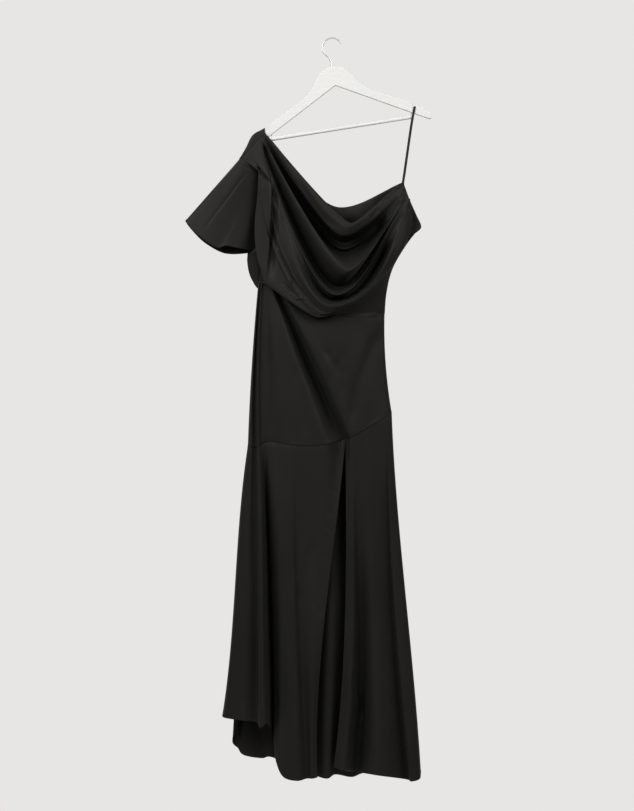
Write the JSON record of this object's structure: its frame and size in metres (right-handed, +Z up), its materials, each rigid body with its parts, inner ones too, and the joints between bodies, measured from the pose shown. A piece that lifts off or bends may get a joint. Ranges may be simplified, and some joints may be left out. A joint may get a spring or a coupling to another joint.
{
  "type": "dress on a hanger",
  "caption": "Long black satin evening dress with a draped cowl neck, an asymmetric flutter sleeve and a slit flounced skirt, hanging on a white wooden hanger.",
  "frame": {"origin": "inside the crown of the hanger's hook, where what it hangs on carries it", "axes": "+Z up along the dress, the front faces -Y, +X to the right of someone looking at the front"},
  "size_m": [0.6164, 0.1041, 1.856],
  "materials": {
    "satin": "black satin",
    "ribbon": "narrow black satin ribbon",
    "white_wood": "painted white, satin",
    "hook_steel": "satin nickel"
  },
  "bodies": {
    "root": {"bodice_front": "satin", "bodice_back": "satin", "sleeve": "satin", "skirt_front": "satin", "skirt_back": "satin", "flounce_front_left": "satin", "flounce_front_right": "satin", "flounce_back": "satin", "hanger_loop": "ribbon", "hanger_hook": "hook_steel", "hanger_body": "white_wood", "hanger_bar": "white_wood"}
  },
  "joints": []
}
